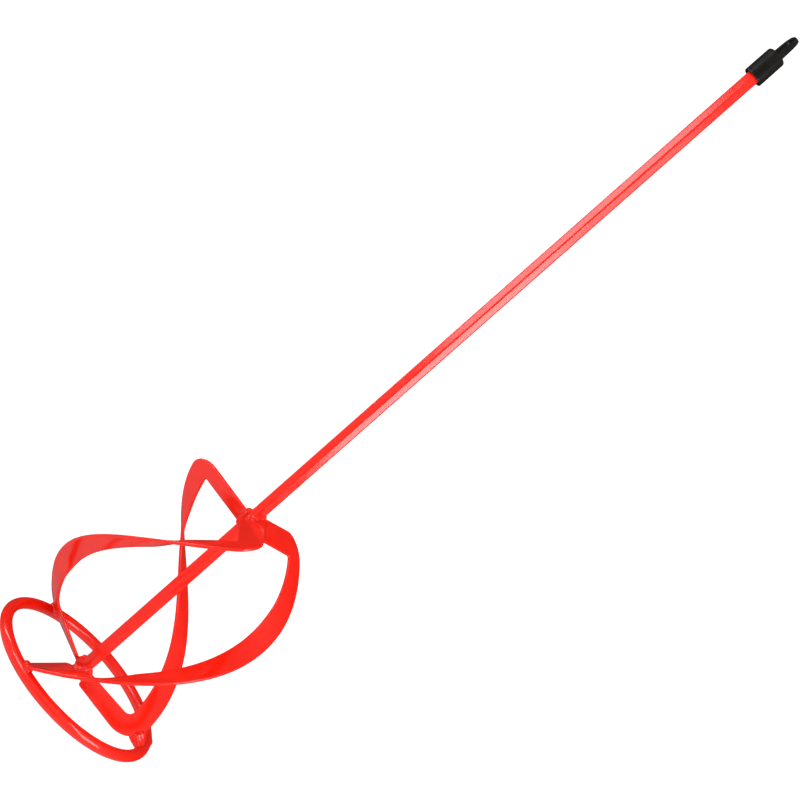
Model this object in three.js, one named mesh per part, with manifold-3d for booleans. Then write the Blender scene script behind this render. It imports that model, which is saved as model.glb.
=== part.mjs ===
// Mortar mixing paddle: a hexagonal shank, three strip blades twisted into a
// right-handed helical basket, a round guard ring, the weld beads that join them,
// and a plastic cap with a hanging eye. Millimetres, +Z along the shank, the ring
// resting on z = 0 and the shank's axis at x = y = 0.

import * as THREE from 'three';
import { mergeVertices } from 'three/addons/utils/BufferGeometryUtils.js';
import Module from 'manifold-3d';

// ---------------------------------------------------------------- dimensions

const GAP = 0.3; // clearance between pieces that touch

// Hexagonal shank
const SHANK_ACROSS_FLATS = 8;
const SHANK_CHAMFER = 0.8;
const SHANK_BOTTOM = 5;
const SHANK_TOP = 534;
const GRIP_BOTTOM = 475; // the chuck's jaws close between these two heights
const GRIP_TOP = 519;

// Guard ring of round rod, closed by a butt joint
const RING_OUTER_DIAMETER = 120;
const ROD_DIAMETER = 7.1;
const ROD_SIDES = 12;
const RING_STEPS = 72;
const RING_OFFSET = 2.2; // the ring is welded a little off the shank's axis
const RING_JOINT_AZIMUTH = 14;
const RING_JOINT_OPENING = 1.2;

// Blades: flat strip with two rounded corners, twisted about the shank.
const STRIP_WIDTH = 13.2;
const STRIP_THICKNESS = 2;
const UPPER_CORNER_RADIUS = 14.6;
const LOWER_CORNER_RADIUS = 17.3;
const ARM_START = 5.1;
const BLADE_STEPS = 84;
// middle: azimuth half way up. twist: turn from the lower arm to the upper arm.
// reach: outer radius. low, high: heights of the arms' centre lines.
// ease: how evenly the twist is spread. bow: how far it runs ahead half way up.
// leanLow, leanHigh: sideways slope of the arms' faces where they meet the shank.
// roll, skew: turn of the strip's face about its own length half way up, in radians,
// and how much more of it the upper half gets than the lower half.
const BLADES = [
  {
    name: 'blade_1', middle: 77.8, twist: 165.5, reach: 52.6, low: 6.3, high: 140.4,
    ease: -0.151, bow: 0.116, leanLow: 0.15, leanHigh: 0.62, roll: 0.154, skew: 0.097,
  },
  {
    name: 'blade_2', middle: 209.7, twist: 144.3, reach: 61.1, low: 8.8, high: 144.3,
    ease: -0.023, bow: 0.025, leanLow: 1.4, leanHigh: 1.2, roll: 0.032, skew: 0.106,
  },
  {
    name: 'blade_3', middle: 334.1, twist: 168.1, reach: 62.3, low: 8.4, high: 141,
    ease: 0.041, bow: -0.071, leanLow: 1.3, leanHigh: 0.93, roll: 0.158, skew: -0.137,
  },
];
const LEAN_FADE = [0.35, 0.65]; // the lean fades out between these shares of the half length

// Weld beads: semi-axes along the radius, the tangent and the shank
const HUB_WELD = { size: [4.4, 3.7, 5.4], lumps: 0.07 };
const HUB_WELD_RADIUS = 6.2;
const HUB_WELD_LIFT = 1; // the beads sit a little above the arms' centre lines
const RING_WELD = { size: [4.2, 3.9, 4], lumps: 0.06 };
const RING_WELD_SHIFT = 2; // inwards and upwards from the rod's centre line
const JOINT_WELD = { size: [4.2, 3.4, 4.2], lumps: 0.02 };

// Moulded cap with a hanging eye, pushed over the shank's end
const CAP_RIM = 519.4;
const CAP_RIM_RADIUS = 6.2;
const CAP_END_RADIUS = 6.1;
const CAP_SLEEVE_LENGTH = 18;
const CAP_EDGE_ROUND = 1.4;
const CAP_BORE_RADIUS = 5;
const CAP_BORE_DEPTH = 15.2;
const CAP_SIDES = 32;
const EYE_WIDTH = 11;
const EYE_THICKNESS = 3.5;
const EYE_HEIGHT = 15;
const EYE_TIP_RADIUS = 5.4;
const EYE_HOLE_WIDTH = 6;
const EYE_HOLE_LENGTH = 9;
const EYE_HOLE_BASE = 3.6;
const EYE_AZIMUTH = -70;

const DEGREE = Math.PI / 180;

// ----------------------------------------------------------------- materials

const paint = new THREE.MeshStandardMaterial({ color: 0xd8140f, roughness: 0.28, metalness: 0.0 });
const plastic = new THREE.MeshStandardMaterial({ color: 0x121212, roughness: 0.38, metalness: 0.0 });

// ------------------------------------------------------------ boolean helpers

const wasm = await Module();
wasm.setup();

function toSolid(geometry) {
  const bare = geometry.clone();
  bare.deleteAttribute('normal');
  bare.deleteAttribute('uv');
  const merged = mergeVertices(bare, 1e-4);
  return new wasm.Manifold(new wasm.Mesh({
    numProp: 3,
    vertProperties: new Float32Array(merged.attributes.position.array),
    triVerts: new Uint32Array(merged.index.array),
  }));
}

function toGeometry(solid) {
  const mesh = solid.getMesh();
  const geometry = new THREE.BufferGeometry();
  geometry.setAttribute('position', new THREE.BufferAttribute(mesh.vertProperties, 3));
  geometry.setIndex(new THREE.BufferAttribute(mesh.triVerts, 1));
  geometry.computeVertexNormals();
  return geometry;
}

// Cuts the tools away and keeps the largest body, so that no sliver is left over.
function cut(geometry, ...tools) {
  let solid = toSolid(geometry);
  for (const tool of tools) solid = solid.subtract(toSolid(tool));
  const bodies = solid.decompose().sort((first, second) => second.volume() - first.volume());
  return toGeometry(bodies[0]);
}

// --------------------------------------------------------------------- shank

function shankGeometry(grow = 0) {
  const radius = (SHANK_ACROSS_FLATS / 2 + grow) / Math.cos(Math.PI / 6);
  const bottom = SHANK_BOTTOM - grow;
  const top = SHANK_TOP + grow;
  const profile = [
    new THREE.Vector2(0, bottom),
    new THREE.Vector2(radius - SHANK_CHAMFER, bottom),
    new THREE.Vector2(radius, bottom + SHANK_CHAMFER),
    new THREE.Vector2(radius, GRIP_BOTTOM),
    new THREE.Vector2(radius, GRIP_TOP),
    new THREE.Vector2(radius, top - SHANK_CHAMFER),
    new THREE.Vector2(radius - SHANK_CHAMFER, top),
    new THREE.Vector2(0, top),
  ];
  return new THREE.LatheGeometry(profile, 6).rotateX(Math.PI / 2);
}

// ---------------------------------------------------------------------- ring

const ROD_RADIUS = ROD_DIAMETER / 2;
const RING_RADIUS = RING_OUTER_DIAMETER / 2 - ROD_RADIUS;

class RingArc extends THREE.Curve {
  constructor(opening) {
    super();
    this.half = Math.PI - opening / RING_RADIUS;
  }

  getPoint(t, target = new THREE.Vector3()) {
    const azimuth = RING_JOINT_AZIMUTH * DEGREE + Math.PI + (2 * t - 1) * this.half;
    const x = RING_OFFSET + RING_RADIUS * Math.cos(azimuth);
    return target.set(x, RING_RADIUS * Math.sin(azimuth), ROD_RADIUS);
  }
}

// The rod's section is a polygon with one side facing straight down.
function ringGeometry(grow = 0) {
  const radius = (ROD_RADIUS + grow) / Math.cos(Math.PI / ROD_SIDES);
  const section = new THREE.Shape();
  for (let side = 0; side < ROD_SIDES; side += 1) {
    const angle = (side + 0.5) * 2 * Math.PI / ROD_SIDES;
    const corner = [radius * Math.cos(angle), radius * Math.sin(angle)];
    if (side === 0) section.moveTo(...corner);
    else section.lineTo(...corner);
  }
  return new THREE.ExtrudeGeometry(section, {
    steps: RING_STEPS,
    extrudePath: new RingArc(RING_JOINT_OPENING / 2 - grow),
  });
}

// -------------------------------------------------------------------- blades

// The twisted surface of one blade. u is the distance from the shank's axis and
// v the distance along the untwisted blank, zero half way up.
class Twist {
  constructor(blade) {
    this.blade = blade;
    this.rise = (blade.high - blade.low) / 2;
    this.sweep = blade.twist * DEGREE / 2;
    this.half = Math.hypot(this.rise, (blade.reach - STRIP_WIDTH / 2) * this.sweep);
    this.middleHeight = (blade.high + blade.low) / 2;
  }

  azimuth(v) {
    const s = v / this.half;
    const eased = s + this.blade.ease * (s ** 3 - s) + this.blade.bow * (1 - s * s);
    return this.blade.middle * DEGREE + this.sweep * eased;
  }

  // Sideways shift that tilts an arm's face, strongest at the shank, none at full reach.
  lean(u, v) {
    const { leanLow, leanHigh, reach } = this.blade;
    const slope = v > 0 ? leanHigh : leanLow;
    const fromArm = (Math.abs(v) - this.half) * Math.sign(v);
    const fade = THREE.MathUtils.smoothstep(Math.abs(v) / this.half, ...LEAN_FADE);
    return slope * STRIP_WIDTH * Math.tanh(fromArm / STRIP_WIDTH) * (1 - u / reach) * fade;
  }

  point(u, v) {
    const azimuth = this.azimuth(v);
    const z = this.middleHeight + v * this.rise / this.half;
    const outward = new THREE.Vector3(Math.cos(azimuth), Math.sin(azimuth), 0);
    const sideways = new THREE.Vector3(-outward.y, outward.x, 0);
    return new THREE.Vector3(0, 0, z).addScaledVector(outward, u).addScaledVector(sideways, this.lean(u, v));
  }

  normal(u, v) {
    const step = 0.05;
    const alongU = this.point(u + step, v).sub(this.point(u - step, v));
    const alongV = this.point(u, v + step).sub(this.point(u, v - step));
    return alongU.cross(alongV).normalize();
  }

  // Turn of the strip's face about its own length, none at the two arms.
  roll(v) {
    const s = v / this.half;
    return (this.blade.roll + this.blade.skew * s) * Math.max(0, 1 - s * s);
  }

  // A point of the strip, off the blank's centre line across the width and through
  // the thickness.
  stripPoint({ point, side }, across, through) {
    const centre = this.point(point.x, point.y);
    const normal = this.normal(point.x, point.y);
    const offset = this.point(point.x + side.x * across, point.y + side.y * across).sub(centre);
    const sideways = this.point(point.x + side.x, point.y + side.y).sub(centre);
    const along = sideways.cross(normal).normalize();
    offset.addScaledVector(normal, through).applyAxisAngle(along, this.roll(point.y));
    return centre.add(offset);
  }
}

// Centre line of the flat blank: lower arm, rounded corner, upright, rounded
// corner, upper arm. Returns a point and the sideways direction at t from 0 to 1.
function blankLine(twist, start) {
  const reach = twist.blade.reach - STRIP_WIDTH / 2;
  const low = LOWER_CORNER_RADIUS - STRIP_WIDTH / 2;
  const high = UPPER_CORNER_RADIUS - STRIP_WIDTH / 2;
  const { half } = twist;
  const path = new THREE.CurvePath();
  const line = (u1, v1, u2, v2) => {
    path.add(new THREE.LineCurve(new THREE.Vector2(u1, v1), new THREE.Vector2(u2, v2)));
  };
  line(start, -half, reach - low, -half);
  path.add(new THREE.EllipseCurve(reach - low, -half + low, low, low, -Math.PI / 2, 0));
  line(reach, -half + low, reach, half - high);
  path.add(new THREE.EllipseCurve(reach - high, half - high, high, high, 0, Math.PI / 2));
  line(reach - high, half, start, half);
  return (t) => {
    const point = path.getPoint(t);
    const ahead = path.getPoint(Math.min(t + 1e-3, 1));
    const behind = path.getPoint(Math.max(t - 1e-3, 0));
    const along = ahead.sub(behind).normalize();
    return { point, side: new THREE.Vector2(along.y, -along.x) };
  };
}

// A straight bar of the strip's section is bent along the blank's centre line and
// then twisted. Its length axis holds t, its width axis the offset across the strip.
function bladeGeometry(blade, grow = 0) {
  const twist = new Twist(blade);
  const line = blankLine(twist, ARM_START - grow);
  const width = STRIP_WIDTH + 2 * grow;
  const thickness = STRIP_THICKNESS + 2 * grow;
  const bar = new THREE.BoxGeometry(1, width, thickness, BLADE_STEPS, 2, 1);
  const position = bar.attributes.position;
  for (let index = 0; index < position.count; index += 1) {
    const station = line(position.getX(index) + 0.5);
    const placed = twist.stripPoint(station, position.getY(index), -position.getZ(index));
    position.setXYZ(index, placed.x, placed.y, placed.z);
  }
  return bar;
}

// --------------------------------------------------------------------- welds

// A lumpy ellipsoid, turned about Z and moved into place.
function beadGeometry({ size, lumps }, azimuth, centre, phase) {
  const bead = new THREE.SphereGeometry(1, 18, 12).rotateX(Math.PI / 2);
  const position = bead.attributes.position;
  const point = new THREE.Vector3();
  for (let index = 0; index < position.count; index += 1) {
    point.fromBufferAttribute(position, index);
    const along = Math.sin(4 * point.x + phase) * Math.cos(5 * point.z - phase);
    const across = Math.sin(6 * point.y + 2 * phase);
    point.multiplyScalar(1 + lumps * (along + across));
    position.setXYZ(index, point.x, point.y, point.z);
  }
  return bead.scale(...size).rotateZ(azimuth).translate(centre.x, centre.y, centre.z);
}

// Joins one arm's end to the shank.
function hubWeldGeometry(blade, end, phase) {
  const twist = new Twist(blade);
  const v = end * twist.half;
  const centre = twist.point(HUB_WELD_RADIUS, v);
  centre.z += HUB_WELD_LIFT;
  const bead = beadGeometry(HUB_WELD, twist.azimuth(v), centre, phase);
  return cut(bead, shankGeometry(GAP), bladeGeometry(blade, GAP));
}

// Joins a blade's lower corner to the ring, where the two come closest.
function ringWeldGeometry(blade, phase) {
  const twist = new Twist(blade);
  const line = blankLine(twist, ARM_START);
  const onRing = new THREE.Vector3();
  let nearest = Infinity;
  let contact;
  let azimuth;
  for (let t = 0.1; t < 0.4; t += 0.002) {
    const edge = twist.stripPoint(line(t), STRIP_WIDTH / 2, 0);
    const bearing = Math.atan2(edge.y, edge.x - RING_OFFSET);
    onRing.set(RING_OFFSET + RING_RADIUS * Math.cos(bearing), RING_RADIUS * Math.sin(bearing), ROD_RADIUS);
    const distance = onRing.distanceTo(edge);
    if (distance < nearest) {
      nearest = distance;
      contact = onRing.clone();
      azimuth = bearing;
    }
  }
  contact.x -= RING_WELD_SHIFT * Math.cos(azimuth);
  contact.y -= RING_WELD_SHIFT * Math.sin(azimuth);
  contact.z += RING_WELD_SHIFT;
  return cut(beadGeometry(RING_WELD, azimuth, contact, phase), ringGeometry(GAP), bladeGeometry(blade, GAP));
}

// Fills the ring's butt joint and stands slightly proud of the rod, dressed flat
// underneath.
function jointWeldGeometry() {
  const azimuth = RING_JOINT_AZIMUTH * DEGREE;
  const centre = new THREE.Vector3(
    RING_OFFSET + RING_RADIUS * Math.cos(azimuth),
    RING_RADIUS * Math.sin(azimuth),
    ROD_RADIUS,
  );
  const under = new THREE.BoxGeometry(30, 30, 10).translate(centre.x, centre.y, -5);
  return cut(beadGeometry(JOINT_WELD, azimuth, centre, 0), ringGeometry(GAP), under);
}

// ----------------------------------------------------------------------- cap

function capSleeveGeometry() {
  const end = CAP_RIM + CAP_SLEEVE_LENGTH;
  const outline = new THREE.Shape();
  outline.moveTo(0, CAP_RIM + CAP_BORE_DEPTH);
  outline.lineTo(CAP_BORE_RADIUS, CAP_RIM + CAP_BORE_DEPTH);
  outline.lineTo(CAP_BORE_RADIUS, CAP_RIM);
  outline.lineTo(CAP_RIM_RADIUS, CAP_RIM);
  outline.lineTo(CAP_END_RADIUS, end - CAP_EDGE_ROUND);
  outline.quadraticCurveTo(CAP_END_RADIUS, end, CAP_END_RADIUS - CAP_EDGE_ROUND, end);
  outline.lineTo(0, end);
  return new THREE.LatheGeometry(outline.getPoints(4), CAP_SIDES).rotateX(Math.PI / 2);
}

// Pointed arch with an oblong hole, standing on the sleeve's closed end.
function capEyeGeometry() {
  const half = EYE_WIDTH / 2;
  const arch = new THREE.Shape();
  arch.moveTo(-half, 0);
  arch.lineTo(half, 0);
  arch.bezierCurveTo(half, 0.55 * EYE_HEIGHT, EYE_TIP_RADIUS, EYE_HEIGHT, 0, EYE_HEIGHT);
  arch.bezierCurveTo(-EYE_TIP_RADIUS, EYE_HEIGHT, -half, 0.55 * EYE_HEIGHT, -half, 0);
  const radius = EYE_HOLE_WIDTH / 2;
  const hole = new THREE.Path();
  hole.absarc(0, EYE_HOLE_BASE + radius, radius, Math.PI, 2 * Math.PI);
  hole.absarc(0, EYE_HOLE_BASE + EYE_HOLE_LENGTH - radius, radius, 0, Math.PI);
  hole.closePath();
  arch.holes.push(hole);
  return new THREE.ExtrudeGeometry(arch, { depth: EYE_THICKNESS, bevelEnabled: false, curveSegments: 10 })
    .translate(0, 0, -EYE_THICKNESS / 2)
    .rotateX(Math.PI / 2)
    .rotateZ(EYE_AZIMUTH * DEGREE)
    .translate(0, 0, CAP_RIM + CAP_SLEEVE_LENGTH - 1);
}

function capGeometry() {
  return toGeometry(toSolid(capSleeveGeometry()).add(toSolid(capEyeGeometry())));
}

// ------------------------------------------------------------------ assembly

const paddle = new THREE.Group();

function addPiece(name, geometry, material) {
  const piece = new THREE.Mesh(geometry, material);
  piece.name = name;
  paddle.add(piece);
}

addPiece('hex_shaft', shankGeometry(), paint);
addPiece('base_ring', ringGeometry(), paint);
BLADES.forEach((blade, index) => {
  const number = index + 1;
  addPiece(blade.name, cut(bladeGeometry(blade), ringGeometry(GAP)), paint);
  addPiece(`upper_weld_${number}`, hubWeldGeometry(blade, 1, number), paint);
  addPiece(`lower_weld_${number}`, hubWeldGeometry(blade, -1, number + 3), paint);
  addPiece(`ring_weld_${number}`, ringWeldGeometry(blade, number + 6), paint);
});
addPiece('ring_joint_weld', jointWeldGeometry(), paint);
addPiece('hanging_cap', capGeometry(), plastic);

export default paddle;
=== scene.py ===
"""Looks of the mortar mixing paddle: powder-coated steel, weld beads and a moulded cap.

Shapes are worked out in millimetres in the CAD model's frame and turned into metres
when their mesh is made.
"""

import math

import bmesh
import bpy
import numpy as np
from mathutils import Matrix, Vector


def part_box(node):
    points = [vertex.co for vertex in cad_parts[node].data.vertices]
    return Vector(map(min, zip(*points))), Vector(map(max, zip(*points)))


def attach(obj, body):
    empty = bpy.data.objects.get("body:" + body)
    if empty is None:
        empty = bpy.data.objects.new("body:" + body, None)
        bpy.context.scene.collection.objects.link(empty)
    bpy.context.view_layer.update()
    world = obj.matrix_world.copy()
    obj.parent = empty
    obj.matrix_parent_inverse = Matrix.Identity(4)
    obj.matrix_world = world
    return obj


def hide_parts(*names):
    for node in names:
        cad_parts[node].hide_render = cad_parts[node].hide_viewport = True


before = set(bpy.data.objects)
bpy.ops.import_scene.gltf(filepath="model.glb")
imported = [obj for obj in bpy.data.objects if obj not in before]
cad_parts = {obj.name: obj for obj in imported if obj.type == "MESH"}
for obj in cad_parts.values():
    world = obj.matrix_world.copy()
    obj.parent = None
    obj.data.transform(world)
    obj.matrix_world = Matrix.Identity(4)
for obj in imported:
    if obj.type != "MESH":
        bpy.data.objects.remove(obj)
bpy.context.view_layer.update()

MM = 0.001
rng = np.random.default_rng(11)


# ------------------------------------------------------------- sizes in the frame

def box_mm(node):
    """Lowest and highest corner of a CAD node in millimetres."""
    low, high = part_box(node)
    return np.array(low) / MM, np.array(high) / MM


SHAFT_LOW, SHAFT_HIGH = box_mm("hex_shaft")
RING_LOW, RING_HIGH = box_mm("base_ring")
CAP_LOW, CAP_HIGH = box_mm("hanging_cap")

ACROSS_FLATS = SHAFT_HIGH[0] - SHAFT_LOW[0]
HEX_EDGE_ROUND = 1.3
SHAFT_CHAMFER = 0.7

ROD_RADIUS = (RING_HIGH[2] - RING_LOW[2]) / 2
RING_RADIUS = (RING_HIGH[1] - RING_LOW[1]) / 2 - ROD_RADIUS
RING_CENTRE = np.array([(RING_LOW[0] + RING_HIGH[0]) / 2, 0.0, ROD_RADIUS])
JOINT_AZIMUTH = math.radians(14)
STRAIGHT_END = 9.0  # the rod's ends stay straight over this length
RING_STEPS = 320

STRIP_WIDTH = 13.2
STRIP_THICKNESS = 2.0
STRIP_EDGE_ROUND = 0.8
STRIP_STEPS = 230
ARM_START = 5.1  # the arms begin this far from the shaft's axis
ARM_END_ROUND = 1.8
LOWER_CORNER_RADIUS = 17.3 - STRIP_WIDTH / 2
UPPER_CORNER_RADIUS = 14.6 - STRIP_WIDTH / 2
LEAN_FADE = (0.35, 0.65)  # the arms' lean fades out between these shares of the half length

# middle: azimuth half way up. twist: turn from the lower arm to the upper arm, in degrees.
# reach: outer radius. low, high: heights of the arms' centre lines. ease: how evenly the
# twist is spread. bow: how far it runs ahead half way up. lean_low, lean_high: sideways
# slope of the arms' faces at the shaft. roll, skew: turn of the strip's face about its own
# length half way up, in radians, and how much more of it the upper half gets.
BLADES = {
    "blade_1": dict(
        middle=77.8, twist=165.5, reach=52.6, low=6.3, high=140.4, ease=-0.151, bow=0.116,
        lean_low=0.15, lean_high=0.62, roll=0.154, skew=0.097,
    ),
    "blade_2": dict(
        middle=209.7, twist=144.3, reach=61.1, low=8.8, high=144.3, ease=-0.023, bow=0.025,
        lean_low=1.4, lean_high=1.2, roll=0.032, skew=0.106,
    ),
    "blade_3": dict(
        middle=334.1, twist=168.1, reach=62.3, low=8.4, high=141.0, ease=0.041, bow=-0.071,
        lean_low=1.3, lean_high=0.93, roll=0.158, skew=-0.137,
    ),
}

CAP_SLEEVE_LENGTH = 18.0
CAP_TAPER = 0.1
CAP_WALL = 1.2
CAP_BORE_DEPTH = 15.2
CAP_BORE_LEVEL = 5.0  # a ring of vertices this far up the straight bore
CAP_EDGE_ROUND = 1.4
CAP_RIM_OUTER_ROUND = 0.35
CAP_RIM_INNER_ROUND = 0.25
CAP_RIM_HEIGHT = 0.4  # the rim's rounding ends this far up the sleeve
PARTING_LINE_HEIGHT = 0.16
PARTING_LINE_HALF_WIDTH = 0.45
EYE_WIDTH = 11.0
EYE_THICKNESS = 3.5
EYE_TIP_RADIUS = 5.4
EYE_HOLE_WIDTH = 6.0
EYE_HOLE_LENGTH = 9.0
EYE_HOLE_BASE = 3.6
EYE_SHOULDER = 0.55  # how far up its own height the eye's sides run before they lean in
EYE_EDGE_ROUND = 1.0
EYE_EDGE_POINTS = 8
EYE_STEPS = 96
EYE_SUNK = 1.0  # how far the eye's foot is let into the sleeve
EYE_AZIMUTH = math.radians(-70)
CAP_VOXEL = 0.22
CAP_MELTING = 4


# -------------------------------------------------------------------- camera

FOCAL_LENGTH = 62.12
SHAFT_ROLL = math.radians(41.39)
SHAFT_LEAN = math.radians(4.698)
AIM_POINT = Vector((0, 0, 0.0104))
AIM_IN_CAMERA = Vector((-0.18499, 0.15655, 0.80820))


def make_camera():
    """A camera whose right, down and forward axes are the rows of the turn below."""
    lean, roll = SHAFT_LEAN, SHAFT_ROLL
    world_z = Vector((
        math.cos(lean) * math.cos(roll),
        -math.cos(lean) * math.sin(roll),
        -math.sin(lean),
    ))
    world_x = Vector((math.sin(roll), math.cos(roll), 0))
    world_y = world_z.cross(world_x)
    turn = Matrix((world_x, world_y, world_z)).transposed()
    right, down, forward = turn[0], turn[1], turn[2]
    camera = bpy.data.objects.new("camera", bpy.data.cameras.new("camera"))
    camera.data.lens = FOCAL_LENGTH
    camera.data.clip_start = 0.01
    camera.data.clip_end = 50
    rotation = Matrix((right, -down, -forward)).transposed()
    place = AIM_POINT - turn.transposed() @ AIM_IN_CAMERA
    camera.matrix_world = Matrix.Translation(place) @ rotation.to_4x4()
    bpy.context.scene.collection.objects.link(camera)
    bpy.context.scene.camera = camera


# ------------------------------------------------------------------ materials

def new_material(name):
    """A node material, its tree and its shader."""
    material = bpy.data.materials.new(name)
    material.use_nodes = True
    tree = material.node_tree
    return material, tree, tree.nodes["Principled BSDF"]


def add_noise(tree, coordinates, scale, detail):
    """Noise with about scale lumps to the metre."""
    noise = tree.nodes.new("ShaderNodeTexNoise")
    noise.inputs["Scale"].default_value = scale
    noise.inputs["Detail"].default_value = detail
    tree.links.new(coordinates, noise.inputs["Vector"])
    return noise.outputs["Fac"]


def add_range(tree, value, low, high, from_low=0.3, from_high=0.7):
    """Maps a value's own range onto low to high, and holds it there at both ends."""
    mapping = tree.nodes.new("ShaderNodeMapRange")
    mapping.inputs["From Min"].default_value = from_low
    mapping.inputs["From Max"].default_value = from_high
    mapping.inputs["To Min"].default_value = low
    mapping.inputs["To Max"].default_value = high
    tree.links.new(value, mapping.inputs["Value"])
    return mapping.outputs["Result"]


def add_ramp(tree, value, stops):
    """Turns a value into a colour between two stops."""
    ramp = tree.nodes.new("ShaderNodeValToRGB")
    elements = ramp.color_ramp.elements
    elements[0].position, elements[0].color = stops[0]
    elements[1].position, elements[1].color = stops[1]
    tree.links.new(value, ramp.inputs["Fac"])
    return ramp.outputs["Color"]


def add_bump(tree, height, distance, strength, normal=None):
    """Bump of a height that is scaled to a distance in metres, on top of another bump."""
    bump = tree.nodes.new("ShaderNodeBump")
    bump.inputs["Distance"].default_value = distance
    bump.inputs["Strength"].default_value = strength
    tree.links.new(height, bump.inputs["Height"])
    if normal is not None:
        tree.links.new(normal, bump.inputs["Normal"])
    return bump.outputs["Normal"]


def powder_coat():
    """Glossy red powder coat: orange peel, faint clouding of the colour, a few specks."""
    material, tree, shader = new_material("red_powder_coat")
    coordinates = tree.nodes.new("ShaderNodeTexCoord").outputs["Object"]
    clouding = add_noise(tree, coordinates, 70, 3)
    colour = add_ramp(tree, clouding, [
        (0.3, (0.62, 0.0075, 0.0012, 1)),
        (0.7, (0.69, 0.0095, 0.0018, 1)),
    ])
    tree.links.new(colour, shader.inputs["Base Color"])
    gloss = add_noise(tree, coordinates, 240, 2)
    tree.links.new(add_range(tree, gloss, 0.13, 0.19), shader.inputs["Roughness"])
    peel = add_bump(tree, add_noise(tree, coordinates, 900, 2), 0.00003, 0.5)
    specks = tree.nodes.new("ShaderNodeTexVoronoi")
    specks.inputs["Scale"].default_value = 140
    tree.links.new(coordinates, specks.inputs["Vector"])
    dots = add_range(tree, specks.outputs["Distance"], 1, 0, 0.01, 0.045)
    tree.links.new(add_bump(tree, dots, 0.00012, 0.7, peel), shader.inputs["Normal"])
    shader.inputs["IOR"].default_value = 1.5
    return material


def moulded_plastic():
    """Near-black plastic with a fine moulded grain and a faint warm clouding."""
    material, tree, shader = new_material("black_plastic")
    coordinates = tree.nodes.new("ShaderNodeTexCoord").outputs["Object"]
    clouding = add_noise(tree, coordinates, 220, 3)
    colour = add_ramp(tree, clouding, [
        (0.3, (0.0028, 0.0024, 0.0021, 1)),
        (0.7, (0.0052, 0.0042, 0.0036, 1)),
    ])
    tree.links.new(colour, shader.inputs["Base Color"])
    tree.links.new(add_range(tree, clouding, 0.24, 0.34), shader.inputs["Roughness"])
    grain = add_noise(tree, coordinates, 2200, 2)
    tree.links.new(add_bump(tree, grain, 0.00003, 0.5), shader.inputs["Normal"])
    shader.inputs["Specular IOR Level"].default_value = 0.25
    return material


def studio_floor():
    """White acrylic lit from behind, the sheet of a light table."""
    material, tree, shader = new_material("studio_floor")
    coordinates = tree.nodes.new("ShaderNodeTexCoord").outputs["Object"]
    paper = add_ramp(tree, add_noise(tree, coordinates, 3, 2), [
        (0.3, (0.24, 0.24, 0.24, 1)),
        (0.7, (0.26, 0.26, 0.26, 1)),
    ])
    tree.links.new(paper, shader.inputs["Base Color"])
    shader.inputs["Roughness"].default_value = 0.9
    shader.inputs["Specular IOR Level"].default_value = 0.1
    shader.inputs["Emission Color"].default_value = (1, 1, 1, 1)
    shader.inputs["Emission Strength"].default_value = 0.95
    return material


# ------------------------------------------------------------ mesh building

def add_object(name, vertices, faces, material):
    """A smooth-shaded mesh object from millimetre vertices."""
    mesh = bpy.data.meshes.new(name)
    mesh.from_pydata([tuple(v) for v in np.asarray(vertices) * MM], [], faces)
    mesh.validate()
    mesh.materials.append(material)
    mesh.polygons.foreach_set("use_smooth", [True] * len(mesh.polygons))
    made = bpy.data.objects.new(name, mesh)
    bpy.context.scene.collection.objects.link(made)
    return made


def claim(piece, body, slot, *nodes):
    """Hangs the piece on the body it rides on and hides the CAD nodes it stands for. slot is not
    used.
    """
    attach(piece, body)
    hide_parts(*nodes)


def sweep_faces(steps, around, closed):
    """Quads between successive sections, and an n-gon on each end of an open sweep."""
    faces = []
    for step in range(steps if closed else steps - 1):
        here, there = step * around, (step + 1) % steps * around
        for corner in range(around):
            after = (corner + 1) % around
            faces.append((here + corner, here + after, there + after, there + corner))
    if not closed:
        faces.append(tuple(reversed(range(around))))
        faces.append(tuple(range((steps - 1) * around, steps * around)))
    return faces


def rounded_rectangle(half_width, half_height, radius, points=5):
    """Closed outline of a rectangle with round corners, counter-clockwise."""
    outline = []
    for quarter, (x, y) in enumerate(((1, 1), (-1, 1), (-1, -1), (1, -1))):
        for step in range(points):
            angle = math.pi / 2 * (quarter + step / (points - 1))
            outline.append((
                x * (half_width - radius) + radius * math.cos(angle),
                y * (half_height - radius) + radius * math.sin(angle),
            ))
    return np.array(outline)


def outward(piece):
    """Turns every face outwards."""
    work = bmesh.new()
    work.from_mesh(piece.data)
    bmesh.ops.recalc_face_normals(work, faces=work.faces)
    work.to_mesh(piece.data)
    work.free()


# --------------------------------------------------------------------- shaft

def hex_section(radius_in, edge_round, points=5):
    """Hexagon with round corners. radius_in is from the centre to a flat."""
    outline = []
    centre = (radius_in - edge_round) / math.cos(math.pi / 6)
    for side in range(6):
        bearing = math.pi / 6 + side * math.pi / 3
        for step in range(points):
            angle = bearing + math.pi / 3 * (step / (points - 1) - 0.5)
            outline.append((
                centre * math.cos(bearing) + edge_round * math.cos(angle),
                centre * math.sin(bearing) + edge_round * math.sin(angle),
            ))
    return np.array(outline)


def make_shaft(material):
    """The hexagonal bar, chamfered at both ends."""
    inner = ACROSS_FLATS / 2
    low, high = SHAFT_LOW[2], SHAFT_HIGH[2]
    chamfer = SHAFT_CHAMFER
    levels = [(low, inner - chamfer), (low + chamfer, inner)]
    levels += [(z, inner) for z in np.linspace(low + 20, high - 20, 12)]
    levels += [(high - chamfer, inner), (high, inner - chamfer)]
    sections = []
    for z, radius in levels:
        section = hex_section(radius, HEX_EDGE_ROUND)
        sections.append(np.column_stack([section, np.full(len(section), z)]))
    faces = sweep_faces(len(levels), len(sections[0]), False)
    shaft = add_object("shaft_bar", np.vstack(sections), faces, material)
    outward(shaft)
    claim(shaft, "paddle", "red_powder_coat", "hex_shaft")


# ---------------------------------------------------------------------- ring

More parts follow.
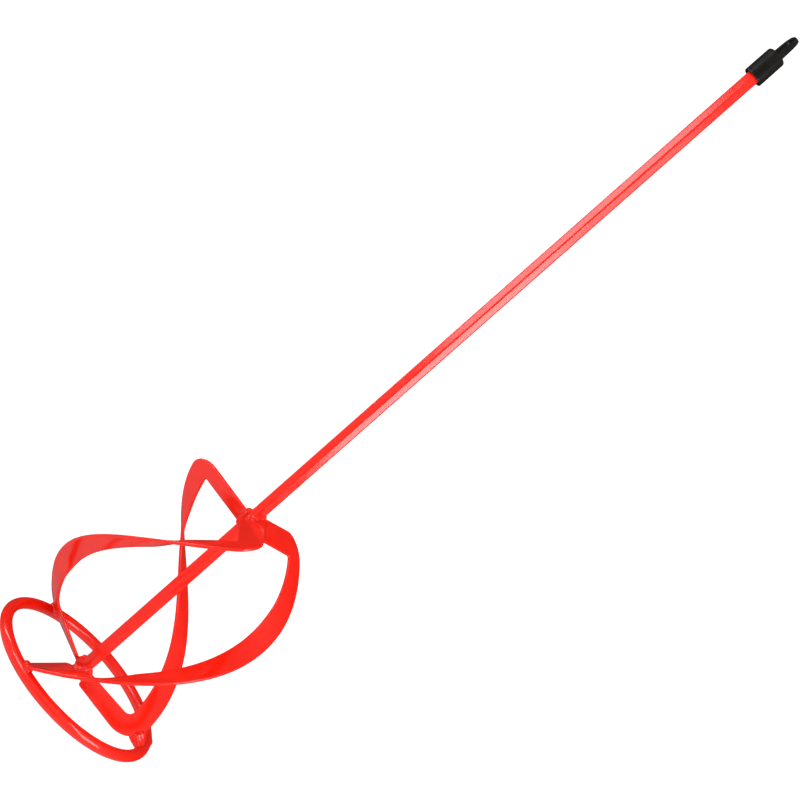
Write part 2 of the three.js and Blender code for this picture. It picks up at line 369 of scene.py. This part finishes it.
def ring_point(azimuth):
    """Centre line of the rod, with its two straight ends at the butt joint."""
    away = (azimuth - JOINT_AZIMUTH + math.pi) % (2 * math.pi) - math.pi
    short = np.maximum(STRAIGHT_END - np.abs(away) * RING_RADIUS, 0)
    radius = RING_RADIUS + short**2 / (2 * RING_RADIUS)
    from_centre = [radius * np.cos(azimuth), radius * np.sin(azimuth), 0 * azimuth]
    return RING_CENTRE + np.stack(from_centre, -1)


def rod_sections(azimuths, radius, around=24):
    """Round sections square to the rod's centre line, one at each azimuth."""
    angle = np.linspace(0, 2 * math.pi, around, endpoint=False)
    centre = ring_point(azimuths)
    out = np.stack([np.cos(azimuths), np.sin(azimuths), 0 * azimuths], -1)
    side = out[:, None, :] * (radius * np.cos(angle))[None, :, None]
    up = np.array([0, 0, 1.0])[None, None, :] * (radius * np.sin(angle))[None, :, None]
    return centre[:, None, :] + side + up


def make_ring(material):
    """The whole rod, closed on itself."""
    azimuths = JOINT_AZIMUTH + np.linspace(0, 2 * math.pi, RING_STEPS, endpoint=False)
    sections = rod_sections(azimuths, ROD_RADIUS)
    faces = sweep_faces(RING_STEPS, sections.shape[1], True)
    ring = add_object("ring_rod", sections.reshape(-1, 3), faces, material)
    outward(ring)
    claim(ring, "paddle", "red_powder_coat", "base_ring")


# -------------------------------------------------------------------- blades

class Twist:
    """The twisted surface of one blade. u is the distance from the shaft's axis and v the
    distance along the untwisted blank, zero half way up."""

    def __init__(self, middle, twist, reach, low, high, ease, bow, lean_low, lean_high, roll, skew):
        self.middle = math.radians(middle)
        self.sweep = math.radians(twist) / 2
        self.rise = (high - low) / 2
        self.middle_height = (high + low) / 2
        self.outer = reach
        self.reach = reach - STRIP_WIDTH / 2
        self.half = math.hypot(self.rise, self.reach * self.sweep)
        self.ease, self.bow = ease, bow
        self.lean_low, self.lean_high = lean_low, lean_high
        self.roll, self.skew = roll, skew
        # lower arm, lower corner, riser, upper corner and upper arm along the centre line
        lengths = [
            self.reach - LOWER_CORNER_RADIUS - ARM_START,
            LOWER_CORNER_RADIUS * math.pi / 2,
            2 * self.half - LOWER_CORNER_RADIUS - UPPER_CORNER_RADIUS,
            UPPER_CORNER_RADIUS * math.pi / 2,
            self.reach - UPPER_CORNER_RADIUS - ARM_START,
        ]
        self.starts = np.concatenate([[0], np.cumsum(lengths)])
        self.total = self.starts[-1]

    def azimuth(self, v):
        """How far round the shaft the strip has turned at v."""
        s = v / self.half
        return self.middle + self.sweep * (s + self.ease * (s**3 - s) + self.bow * (1 - s * s))

    def lean(self, u, v):
        """Sideways shift that tilts an arm's face, strongest at the shaft, none at full reach."""
        slope = np.where(v > 0, self.lean_high, self.lean_low)
        from_arm = (np.abs(v) - self.half) * np.sign(v)
        begin, end = LEAN_FADE
        fade = np.clip((np.abs(v) / self.half - begin) / (end - begin), 0, 1)
        fade = fade * fade * (3 - 2 * fade)
        return slope * STRIP_WIDTH * np.tanh(from_arm / STRIP_WIDTH) * (1 - u / self.outer) * fade

    def point(self, u, v):
        """The point of the twisted surface for a point of the flat blank."""
        azimuth = self.azimuth(v)
        z = self.middle_height + v * self.rise / self.half
        cosine, sine, lean = np.cos(azimuth), np.sin(azimuth), self.lean(u, v)
        return np.stack([u * cosine - lean * sine, u * sine + lean * cosine, z], -1)

    def normal(self, u, v):
        """Unit normal of the twisted surface."""
        step = 0.05
        along_u = self.point(u + step, v) - self.point(u - step, v)
        along_v = self.point(u, v + step) - self.point(u, v - step)
        normal = np.cross(along_u, along_v)
        return normal / np.linalg.norm(normal, axis=-1, keepdims=True)

    def blank(self, distance):
        """Centre line of the flat blank at distances along it: u, v and heading."""
        low, high, half, reach = LOWER_CORNER_RADIUS, UPPER_CORNER_RADIUS, self.half, self.reach
        u, v, heading = (np.zeros_like(distance) for _ in range(3))
        for part in range(5):
            inside = (distance >= self.starts[part]) & (distance <= self.starts[part + 1])
            d = distance[inside] - self.starts[part]
            if part == 0:
                u[inside], v[inside], heading[inside] = ARM_START + d, -half, 0
            elif part == 1:
                turn = d / low
                u[inside] = reach - low + low * np.sin(turn)
                v[inside] = -half + low - low * np.cos(turn)
                heading[inside] = turn
            elif part == 2:
                u[inside], v[inside], heading[inside] = reach, -half + low + d, math.pi / 2
            elif part == 3:
                turn = d / high
                u[inside] = reach - high + high * np.cos(turn)
                v[inside] = half - high + high * np.sin(turn)
                heading[inside] = math.pi / 2 + turn
            else:
                u[inside], v[inside], heading[inside] = reach - high - d, half, math.pi
        return u, v, heading

    def place(self, distance, across, through):
        """Points at distances along the blank, across its width and through its thickness."""
        u, v, heading = self.blank(distance)
        sine, cosine = np.sin(heading), np.cos(heading)
        centre, normal = self.point(u, v), self.normal(u, v)
        along = np.cross(self.point(u + sine, v - cosine) - centre, normal)
        along = along / np.linalg.norm(along, axis=-1, keepdims=True)
        flat = self.point(u + across * sine, v - across * cosine)
        offset = flat - centre + normal * through[..., None]
        s = v / self.half
        turn = ((self.roll + self.skew * s) * np.maximum(1 - s * s, 0))[..., None]
        kept = along * np.sum(along * offset, axis=-1, keepdims=True)
        aside = np.cross(along, offset)
        return centre + kept + (offset - kept) * np.cos(turn) + aside * np.sin(turn)


def strip_sections(twist, distances, grow=0.0):
    """Sections of the strip with rounded edges, narrowed at the arms' rounded ends."""
    half_width, half_thickness = STRIP_WIDTH / 2 + grow, STRIP_THICKNESS / 2 + grow
    outline = rounded_rectangle(half_width, half_thickness, STRIP_EDGE_ROUND)
    from_end = np.minimum(distances, twist.total - distances)
    short = np.clip(ARM_END_ROUND - from_end, 0, ARM_END_ROUND)
    inset = ARM_END_ROUND - np.sqrt(ARM_END_ROUND**2 - short**2)
    across = outline[None, :, 0] * (1 - inset / (STRIP_WIDTH / 2))[:, None]
    through = np.broadcast_to(outline[None, :, 1], across.shape)
    distance = np.broadcast_to(distances[:, None], across.shape)
    return twist.place(distance.copy(), across, through)


def make_blade(name, twist, material):
    """One strip, with its sections closer together round the arms' ends."""
    ends = np.array([0, 0.12, 0.35, 0.7, 1.2])
    between = np.linspace(ARM_END_ROUND, twist.total - ARM_END_ROUND, STRIP_STEPS)
    sections = strip_sections(twist, np.concatenate([ends, between, twist.total - ends[::-1]]))
    steps, around = sections.shape[:2]
    faces = sweep_faces(steps, around, False)
    blade = add_object(name + "_strip", sections.reshape(-1, 3), faces, material)
    outward(blade)
    claim(blade, "paddle", "red_powder_coat", name)


# ----------------------------------------------------------- fused surfaces

def ball(centre, radius, rings=7, around=12):
    """A closed ball as vertices and faces."""
    levels = np.linspace(math.pi, 0, rings + 2)[1:-1]
    turn = np.linspace(0, 2 * math.pi, around, endpoint=False)
    rows = [
        np.column_stack([
            math.sin(level) * np.cos(turn),
            math.sin(level) * np.sin(turn),
            np.full(around, math.cos(level)),
        ])
        for level in levels
    ]
    return np.asarray(centre) + radius * np.vstack(rows), sweep_faces(rings, around, False)


def strip_shell(twist, first, last, grow):
    """A closed stretch of a blade's strip."""
    sections = strip_sections(twist, np.linspace(first, last, 16), grow)
    steps, around = sections.shape[:2]
    return sections.reshape(-1, 3), sweep_faces(steps, around, False)


def shaft_shell(low, high, grow):
    """A closed stretch of the shaft."""
    section = hex_section(ACROSS_FLATS / 2 + grow, HEX_EDGE_ROUND)
    rows = [np.column_stack([section, np.full(len(section), z)]) for z in (low, high)]
    return np.vstack(rows), sweep_faces(2, len(section), False)


def rod_shell(middle, half_angle, grow):
    """A closed stretch of the ring, on both sides of an azimuth."""
    azimuths = middle + np.linspace(-half_angle, half_angle, 24)
    sections = rod_sections(azimuths, ROD_RADIUS + grow)
    steps, around = sections.shape[:2]
    return sections.reshape(-1, 3), sweep_faces(steps, around, False)


def fuse(name, shells, voxel, melting, material):
    """One skin round overlapping closed shells, smoothed until they run into each other.

    No part of it reaches below the ring's underside."""
    vertices, faces, start = [], [], 0
    for shell_vertices, shell_faces in shells:
        vertices.append(shell_vertices)
        faces.extend(tuple(start + corner for corner in face) for face in shell_faces)
        start += len(shell_vertices)
    source = add_object(name + "_source", np.vstack(vertices), faces, material)
    outward(source)
    remesh = source.modifiers.new("fuse", "REMESH")
    remesh.mode = "VOXEL"
    remesh.voxel_size = voxel * MM
    smooth = source.modifiers.new("melt", "SMOOTH")
    smooth.factor = 0.5
    smooth.iterations = melting
    evaluated = source.evaluated_get(bpy.context.evaluated_depsgraph_get())
    mesh = bpy.data.meshes.new_from_object(evaluated)
    bpy.data.objects.remove(source)
    mesh.name = name
    for vertex in mesh.vertices:
        vertex.co.z = max(vertex.co.z, RING_LOW[2] * MM)
    mesh.materials.clear()
    mesh.materials.append(material)
    mesh.polygons.foreach_set("use_smooth", [True] * len(mesh.polygons))
    made = bpy.data.objects.new(name, mesh)
    bpy.context.scene.collection.objects.link(made)
    return made


# --------------------------------------------------------------------- welds

SUNK = -0.12  # the skins of joined bars stay this far below the bars' own surfaces
WELD_VOXEL = 0.28

HUB_SHAFT_REACH = 10.0  # a hub weld's skin runs this far along the shaft, up and down
HUB_ARM_REACH = 7.5  # and this far along the arm
HUB_RUN_RADIUS = 4.9  # a hub run's beads are drawn in to this distance from the shaft's axis
HUB_RUN_REACH = 7.2  # and left out where the arm's end is further away than this
HUB_RUN_HALF_LENGTH = 5.8
HUB_RUN_STEPS = 11
HUB_END_CLEARANCE = 0.6  # no bead's middle lies closer than this to the shaft's lower end
HUB_BEAD_RADIUS = 1.75
HUB_SPATTERS = 5
HUB_LUMPS = 6
HUB_LUMP_RADIUS = 4.4  # the lumps over an arm's edge lie this far from the shaft's axis

RING_ROD_HALF_ANGLE = 0.2  # how far a ring weld's skin runs along the rod, in radians
RING_STRIP_HALF_LENGTH = 9.0  # and along the strip
RING_RUN_HALF_LENGTH = 7.0
RING_RUN_STEPS = 13
RING_RUN_SLACK = 1.0  # the run stops where the strip stands this much further off the ring
RING_BEAD_RADIUS = 1.7
RING_BEAD_FLOOR = 1.2  # lowest height of a bead's middle
RING_MELTING = 12
BEAD_STAND_OFF = 0.25  # a run follows the line where the strip's face leaves the rod by this
BRIDGE_STEP = 1.5  # spacing of the beads that fill a wider gap

JOINT_HALF_ANGLE = 0.1
JOINT_BEAD_RADIUS = 1.4
JOINT_BEAD_SUNK = 1.2
JOINT_BEADS = 14
JOINT_MELTING = 8


def make_hub_weld(node, twist, end, unevenness, melting, material):
    """Ripple runs on both faces of an arm's end, spatter beside them, lumps over its edge.

    end is 1 at the upper arm and -1 at the lower arm."""

    def place(distance, across, through):
        along = distance if end < 0 else twist.total - distance
        return twist.place(np.array([along]), np.array([across]), np.array([through]))[0]

    height = twist.middle_height + end * twist.rise
    lowest = max(height - HUB_SHAFT_REACH, SHAFT_LOW[2] + 0.2)
    arm = (0.0, HUB_ARM_REACH) if end < 0 else (twist.total - HUB_ARM_REACH, twist.total)
    shells = [
        shaft_shell(lowest, height + HUB_SHAFT_REACH, SUNK),
        strip_shell(twist, *arm, SUNK),
    ]
    for side in (-1, 1):
        for across in np.linspace(-HUB_RUN_HALF_LENGTH, HUB_RUN_HALF_LENGTH, HUB_RUN_STEPS):
            jitter = rng.normal(0, unevenness, 3)
            through = side * (1.3 + 0.5 * jitter[2])
            centre = place(0.5 + abs(jitter[0]), across + jitter[1], through)
            away = np.hypot(centre[0], centre[1])
            if away > HUB_RUN_REACH or centre[2] < SHAFT_LOW[2] + HUB_END_CLEARANCE:
                continue
            centre[:2] *= min(1, HUB_RUN_RADIUS / away)
            shells.append(ball(centre, HUB_BEAD_RADIUS + rng.uniform(-unevenness, unevenness)))
        for _ in range(HUB_SPATTERS):
            centre = place(rng.uniform(2.4, 5.5), rng.uniform(-4.5, 4.5), side * 1.0)
            shells.append(ball(centre, rng.uniform(0.35, 0.6), 5, 8))
    for _ in range(HUB_LUMPS):
        edge = end * (STRIP_WIDTH / 2 + rng.uniform(-0.3, 0.6))
        centre = place(rng.uniform(0.3, 1.5), edge, rng.uniform(-1.5, 1.5))
        centre[:2] *= HUB_LUMP_RADIUS / np.hypot(centre[0], centre[1])
        shells.append(ball(centre, HUB_BEAD_RADIUS * rng.uniform(0.75, 1.05)))
    weld = fuse(node + "_bead", shells, WELD_VOXEL, melting, material)
    claim(weld, "paddle", "red_powder_coat", node)


def nearest_to_ring(twist):
    """Where along the blank the strip's outer edge comes closest to the rod, and how close."""
    count = 400
    distances = np.linspace(0.1, 0.4, count) * twist.total
    edge = twist.place(distances, np.full(count, STRIP_WIDTH / 2), np.zeros(count))
    bearing = np.arctan2(edge[:, 1], edge[:, 0] - RING_CENTRE[0])
    gap = np.linalg.norm(ring_point(bearing) - edge, axis=1)
    best = int(np.argmin(gap))
    return distances[best], bearing[best], max(0.0, gap[best] - ROD_RADIUS)


def make_ring_weld(node, twist, material):
    """A run along each face of the strip where its edge is nearest the ring.

    Where the strip stands off the ring, a row of beads bridges the gap to the rod."""
    distance, bearing, nearest = nearest_to_ring(twist)
    shells = [
        rod_shell(bearing, RING_ROD_HALF_ANGLE, SUNK),
        strip_shell(
            twist, distance - RING_STRIP_HALF_LENGTH, distance + RING_STRIP_HALF_LENGTH, SUNK
        ),
    ]
    count = 60
    across = np.linspace(STRIP_WIDTH / 2, -STRIP_WIDTH / 2, count)
    for side in (-1, 1):
        through = np.full(count, side * STRIP_THICKNESS / 2)
        for step in np.linspace(-RING_RUN_HALF_LENGTH, RING_RUN_HALF_LENGTH, RING_RUN_STEPS):
            face = twist.place(np.full(count, distance + step), across, through)
            middle = ring_point(np.arctan2(face[:, 1], face[:, 0] - RING_CENTRE[0]))
            gap = np.linalg.norm(face - middle, axis=1) - ROD_RADIUS
            if gap[0] > nearest + RING_RUN_SLACK:
                continue
            touch = int(np.argmax(gap > BEAD_STAND_OFF))
            toward = (middle[touch] - face[touch]) / (gap[touch] + ROD_RADIUS)
            bridge = max(0.0, gap[touch] - BEAD_STAND_OFF)
            for reach in np.linspace(0, bridge, 1 + math.ceil(bridge / BRIDGE_STEP)):
                centre = face[touch] + toward * reach
                centre[2] = max(centre[2], RING_BEAD_FLOOR)
                shells.append(ball(centre, RING_BEAD_RADIUS + rng.uniform(-0.15, 0.2)))
    weld = fuse(node + "_bead", shells, WELD_VOXEL, RING_MELTING, material)
    claim(weld, "paddle", "red_powder_coat", node)


def make_joint_weld(material):
    """The dressed bead that closes the ring's butt joint."""
    centre = ring_point(np.array(JOINT_AZIMUTH))
    out = np.array([math.cos(JOINT_AZIMUTH), math.sin(JOINT_AZIMUTH), 0])
    up = np.array([0, 0, 1.0])
    shells = [rod_shell(JOINT_AZIMUTH, JOINT_HALF_ANGLE, SUNK)]
    for angle in np.linspace(0, 2 * math.pi, JOINT_BEADS, endpoint=False):
        away = out * math.cos(angle) + up * math.sin(angle)
        radius = JOINT_BEAD_RADIUS + rng.uniform(-0.1, 0.12)
        shells.append(ball(centre + away * (ROD_RADIUS - JOINT_BEAD_SUNK), radius))
    weld = fuse("ring_joint_bead", shells, WELD_VOXEL, JOINT_MELTING, material)
    claim(weld, "paddle", "red_powder_coat", "ring_joint_weld")


# ----------------------------------------------------------------------- cap

def sleeve_shell():
    """Closed-ended sleeve: up the bore, round the rim and along the outside."""
    rim, end = CAP_LOW[2], CAP_LOW[2] + CAP_SLEEVE_LENGTH
    outer, inner = CAP_HIGH[0], CAP_HIGH[0] - CAP_WALL
    tip = outer - CAP_TAPER
    profile = [
        (inner, rim + CAP_BORE_DEPTH),
        (inner, rim + CAP_BORE_LEVEL),
        (inner, rim + CAP_RIM_HEIGHT),
        (inner + CAP_RIM_INNER_ROUND, rim),
        (outer - CAP_RIM_OUTER_ROUND, rim),
        (outer, rim + CAP_RIM_HEIGHT),
        (outer - CAP_TAPER / 2, (rim + end) / 2),
        (tip, end - CAP_EDGE_ROUND),
    ]
    for step in range(1, 6):
        angle = math.pi / 2 * step / 5
        profile.append((
            tip - CAP_EDGE_ROUND * (1 - math.cos(angle)),
            end - CAP_EDGE_ROUND * (1 - math.sin(angle)),
        ))
    around = 72
    turn = np.linspace(0, 2 * math.pi, around, endpoint=False)
    rows = [
        np.column_stack([radius * np.cos(turn), radius * np.sin(turn), np.full(around, z)])
        for radius, z in profile
    ]
    return np.vstack(rows), sweep_faces(len(profile), around, False)


def bezier(corners, count=24):
    """Points of a cubic curve, without its last point."""
    t = np.linspace(0, 1, count, endpoint=False)[:, None]
    a, b, c, d = (np.array(corner, float) for corner in corners)
    return (1 - t)**3 * a + 3 * t * (1 - t)**2 * b + 3 * t * t * (1 - t) * c + t**3 * d


def outline_at(outline, centre, angle):
    """Where a ray from the centre leaves a closed outline."""
    ray = np.array([math.cos(angle), math.sin(angle)])
    starts = outline - centre
    spans = np.roll(outline, -1, axis=0) - outline
    cross = ray[0] * spans[:, 1] - ray[1] * spans[:, 0]
    cross = np.where(np.abs(cross) < 1e-9, 1e-9, cross)
    far = (starts[:, 0] * spans[:, 1] - starts[:, 1] * spans[:, 0]) / cross
    share = (starts[:, 0] * ray[1] - starts[:, 1] * ray[0]) / cross
    hit = far[(share >= -1e-6) & (share <= 1 + 1e-6) & (far > 0)]
    return centre + ray * hit.max()


def eye_shell():
    """Arch with an oblong hole and rounded edges, standing on the sleeve's end."""
    foot = CAP_LOW[2] + CAP_SLEEVE_LENGTH - EYE_SUNK
    height = CAP_HIGH[2] - foot
    half, tip = EYE_WIDTH / 2, EYE_TIP_RADIUS
    shoulder = EYE_SHOULDER * height
    right = bezier([(half, 0), (half, shoulder), (tip, height), (0, height)])
    left = bezier([(0, height), (-tip, height), (-half, shoulder), (-half, 0)])
    arch = np.vstack([right, left, [(-half, 0)]])
    radius = EYE_HOLE_WIDTH / 2
    straight = EYE_HOLE_LENGTH / 2 - radius
    centre = np.array([0, EYE_HOLE_BASE + EYE_HOLE_LENGTH / 2])
    bend = np.linspace(0, math.pi, 24)
    top = np.column_stack([radius * np.cos(bend), straight + radius * np.sin(bend)])
    hole = centre + np.vstack([top, -top])
    flat = EYE_THICKNESS / 2 - EYE_EDGE_ROUND
    sections = []
    for angle in np.linspace(0, 2 * math.pi, EYE_STEPS, endpoint=False):
        outer = outline_at(arch, centre, angle)
        inner = outline_at(hole, centre, angle)
        ray = np.array([math.cos(angle), math.sin(angle)])
        for edge, inward in ((outer, -1), (inner, 1)):
            for turn in np.linspace(math.pi / 2, -math.pi / 2, EYE_EDGE_POINTS) * -inward:
                across, up = edge + ray * inward * EYE_EDGE_ROUND * (1 - math.cos(turn))
                through = math.copysign(flat, turn) + EYE_EDGE_ROUND * math.sin(turn)
                sections.append((
                    across * math.cos(EYE_AZIMUTH) - through * math.sin(EYE_AZIMUTH),
                    across * math.sin(EYE_AZIMUTH) + through * math.cos(EYE_AZIMUTH),
                    foot + up,
                ))
    return np.array(sections), sweep_faces(EYE_STEPS, 2 * EYE_EDGE_POINTS, True)


def make_cap(material):
    """Moulded sleeve and eye in one skin, with the mould's parting line along both sides."""
    shells = [sleeve_shell(), eye_shell()]
    cap = fuse("hanging_cap_shell", shells, CAP_VOXEL, CAP_MELTING, material)
    out = np.array([math.cos(EYE_AZIMUTH), math.sin(EYE_AZIMUTH)])
    end = CAP_LOW[2] + CAP_SLEEVE_LENGTH
    for vertex in cap.data.vertices:
        x, y, z = np.array(vertex.co) / MM
        if math.hypot(x, y) < CAP_HIGH[0] - CAP_WALL / 2 or z > end:
            continue
        aside = abs(x * out[1] - y * out[0])
        ridge = PARTING_LINE_HEIGHT * max(0, 1 - aside / PARTING_LINE_HALF_WIDTH)
        scale = 1 + ridge / math.hypot(x, y)
        vertex.co.x *= scale
        vertex.co.y *= scale
    claim(cap, "cap", "black_plastic", "hanging_cap")


# --------------------------------------------------------------------- stage

def make_floor():
    """A pale sheet that is flat under the tool and sweeps up all round it, in metres."""
    flat, rim, height = 1.5, 3.2, 3.0
    bend = rim - flat
    profile = [(0.02, 0.0), (flat * 0.5, 0.0), (flat, 0.0)]
    for step in range(1, 17):
        angle = math.pi / 2 * step / 16
        profile.append((flat + bend * math.sin(angle), bend * (1 - math.cos(angle))))
    profile.append((rim, height))
    around = 96
    vertices = []
    for radius, z in profile:
        for step in range(around):
            angle = 2 * math.pi * step / around
            vertices.append((radius * math.cos(angle) / MM, radius * math.sin(angle) / MM, z / MM))
    faces = sweep_faces(len(profile), around, False)[:-1]
    floor = add_object("studio_floor", vertices, faces, studio_floor())
    floor.visible_glossy = False


def add_area(name, azimuth, elevation, distance, height, size, radiance, reflected=True):
    """A softbox aimed at the shaft's axis at a height, with its sizes in metres.

    Azimuth 0 is in front, on -Y, and 90 is on +X. One that isn't reflected only fills in."""
    azimuth, elevation = math.radians(azimuth), math.radians(elevation)
    aim = Vector((0, 0, height))
    away = Vector((
        math.sin(azimuth) * math.cos(elevation),
        -math.cos(azimuth) * math.cos(elevation),
        math.sin(elevation),
    ))
    light = bpy.data.lights.new(name, "AREA")
    light.shape = "RECTANGLE"
    light.size, light.size_y = size
    light.energy = radiance * math.pi * size[0] * size[1]
    made = bpy.data.objects.new(name, light)
    made.location = aim + away * distance
    made.rotation_mode = "QUATERNION"
    made.rotation_quaternion = (-away).to_track_quat("-Z", "Y")
    made.visible_camera = False
    made.visible_glossy = reflected
    bpy.context.scene.collection.objects.link(made)


def make_studio():
    """A grey room with softboxes round the tool.

    The room is darker behind the tool and in a narrow cone straight in front of it, and
    lighter towards the floor."""
    world = bpy.data.worlds.new("studio")
    world.use_nodes = True
    tree = world.node_tree
    direction = tree.nodes.new("ShaderNodeTexCoord").outputs["Generated"]
    parts = tree.nodes.new("ShaderNodeSeparateXYZ")
    tree.links.new(direction, parts.inputs["Vector"])
    depth, height = parts.outputs["Y"], parts.outputs["Z"]
    behind = add_range(tree, depth, low=0.5, high=0.05, from_low=-0.1, from_high=0.6)
    gap = add_range(tree, depth, low=0.15, high=1, from_low=-0.985, from_high=-0.92)
    below = add_range(tree, height, low=0.25, high=0, from_low=-0.65, from_high=-0.3)
    blend = tree.nodes.new("ShaderNodeMath")
    blend.operation = "MULTIPLY_ADD"  # behind * gap + below
    for place, value in enumerate((behind, gap, below)):
        tree.links.new(value, blend.inputs[place])
    tree.links.new(blend.outputs["Value"], tree.nodes["Background"].inputs["Strength"])
    tree.nodes["Background"].inputs["Color"].default_value = (1, 1, 1, 1)
    bpy.context.scene.world = world
    bpy.context.scene.view_settings.view_transform = "Standard"
    # name, azimuth, elevation, distance, height, size and radiance
    add_area("top_fill", -10, 65, 2.2, 0.27, (1.6, 1.6), 1.5, reflected=False)
    add_area("front_fill", 10, 12, 2.2, 0.27, (1.6, 1.2), 0.9, reflected=False)
    add_area("right_box", 60, 0, 0.8, 0.26, (0.35, 0.36), 7.2)
    add_area("right_upper_box", 60, 0, 0.8, 0.53, (0.35, 0.22), 3)
    add_area("left_box", -60, 0, 0.8, 0.47, (0.35, 0.40), 5)
    add_area("back_fill", 170, 35, 2.2, 0.27, (1.6, 1.6), 1.2, reflected=False)
    add_area("right_strip", 45, 40, 0.5, 0.03, (0.045, 0.25), 10)
    add_area("left_strip", -100, 18, 0.9, 0.1, (0.08, 0.5), 12)


# ------------------------------------------------------------------ assembly

make_camera()
paint = powder_coat()
plastic = moulded_plastic()
make_floor()
make_studio()
make_shaft(paint)
make_ring(paint)
for index, (name, numbers) in enumerate(BLADES.items(), start=1):
    twist = Twist(**numbers)
    make_blade(name, twist, paint)
    make_hub_weld(f"upper_weld_{index}", twist, end=1, unevenness=0.5, melting=3, material=paint)
    make_hub_weld(f"lower_weld_{index}", twist, end=-1, unevenness=0.25, melting=14, material=paint)
    make_ring_weld(f"ring_weld_{index}", twist, paint)
make_joint_weld(paint)
make_cap(plastic)
